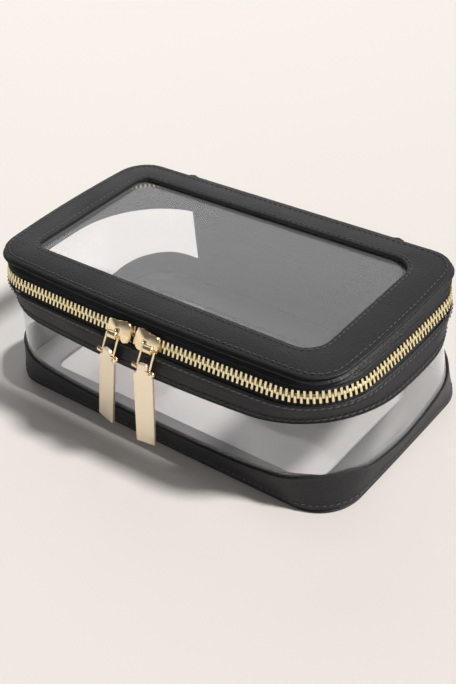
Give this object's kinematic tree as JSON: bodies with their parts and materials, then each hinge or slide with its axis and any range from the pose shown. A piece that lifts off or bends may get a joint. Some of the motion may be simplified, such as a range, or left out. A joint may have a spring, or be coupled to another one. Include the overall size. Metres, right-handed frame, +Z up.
{
  "type": "makeup bag",
  "caption": "Boxy zipped makeup bag of clear plastic with black leather lid frame, bands and base, gold zip and two hanging bar pulls.",
  "frame": {"origin": "centre of the underside", "axes": "+X along the long side, -Y to the front where the pulls hang, +Z up"},
  "size_m": [0.238, 0.1396, 0.0791],
  "materials": {
    "black_leather": "fine-grained black faux leather",
    "lining_leather": "smooth black lining",
    "clear_pvc": "glossy clear flexible sheet",
    "zip_tape": "woven black zip tape",
    "gold_teeth": "polished pale gold",
    "gold_metal": "polished pale gold"
  },
  "bodies": {
    "base": {"floor_welt": "black_leather", "floor_frame": "black_leather", "floor_window": "clear_pvc", "floor_lining": "lining_leather", "clear_wall": "clear_pvc", "skirt": "black_leather", "cuff": "black_leather", "cuff_lining": "lining_leather", "back_panel": "black_leather", "back_lining": "lining_leather", "zip_tape_lower": "zip_tape", "zip_teeth_lower": "gold_teeth"},
    "lid": {"lid_frame": "black_leather", "lid_welt": "black_leather", "lid_window": "clear_pvc", "lid_lining": "lining_leather", "lid_gusset": "black_leather", "hinge_panel": "black_leather", "zip_tape_upper": "zip_tape", "zip_teeth_upper": "gold_teeth"},
    "slider_left": {"slider_body_left": "gold_metal", "slider_crown_left": "gold_metal"},
    "slider_right": {"slider_body_right": "gold_metal", "slider_crown_right": "gold_metal"},
    "link_left": {"pull_link_left": "gold_metal", "tag_pin_left": "gold_metal"},
    "link_right": {"pull_link_right": "gold_metal", "tag_pin_right": "gold_metal"},
    "tag_left": {"pull_tag_left": "gold_metal"},
    "tag_right": {"pull_tag_right": "gold_metal"}
  },
  "joints": [
    {"name": "lid_hinge", "type": "hinge", "parent": "base", "child": "lid", "pos_m": [0, 0.0629, 0.0688], "axis": [-1, 0, 0], "range_deg": [0, 115], "deforming": ["zip_tape_upper", "zip_teeth_upper"]},
    {"name": "slider_left_slide", "type": "slide", "parent": "base", "child": "slider_left", "axis": [-0.9997, 0.0225, 0], "range_m": [0, 0.07], "deforming": ["zip_tape_upper", "zip_tape_lower", "zip_teeth_upper", "zip_teeth_lower"]},
    {"name": "link_left_swing", "type": "hinge", "parent": "slider_left", "child": "link_left", "pos_m": [-0.012, -0.06913, 0.06725], "axis": [-0.9884, 0.1445, 0.047], "range_deg": [0, 50]},
    {"name": "tag_left_swing", "type": "hinge", "parent": "link_left", "child": "tag_left", "pos_m": [-0.01308, -0.07354, 0.058], "axis": [-0.9884, 0.1445, 0.047], "range_deg": [0, 75]},
    {"name": "slider_right_slide", "type": "slide", "parent": "base", "child": "slider_right", "axis": [0.9997, 0.0225, 0], "range_m": [0, 0.07], "deforming": ["zip_tape_upper", "zip_tape_lower", "zip_teeth_upper", "zip_teeth_lower"]},
    {"name": "link_right_swing", "type": "hinge", "parent": "slider_right", "child": "link_right", "pos_m": [0.0112, -0.06913, 0.06725], "axis": [-0.9946, 0.0925, 0.047], "range_deg": [0, 50]},
    {"name": "tag_right_swing", "type": "hinge", "parent": "link_right", "child": "tag_right", "pos_m": [0.01035, -0.07359, 0.058], "axis": [-0.9946, 0.0925, 0.047], "range_deg": [0, 75]}
  ]
}
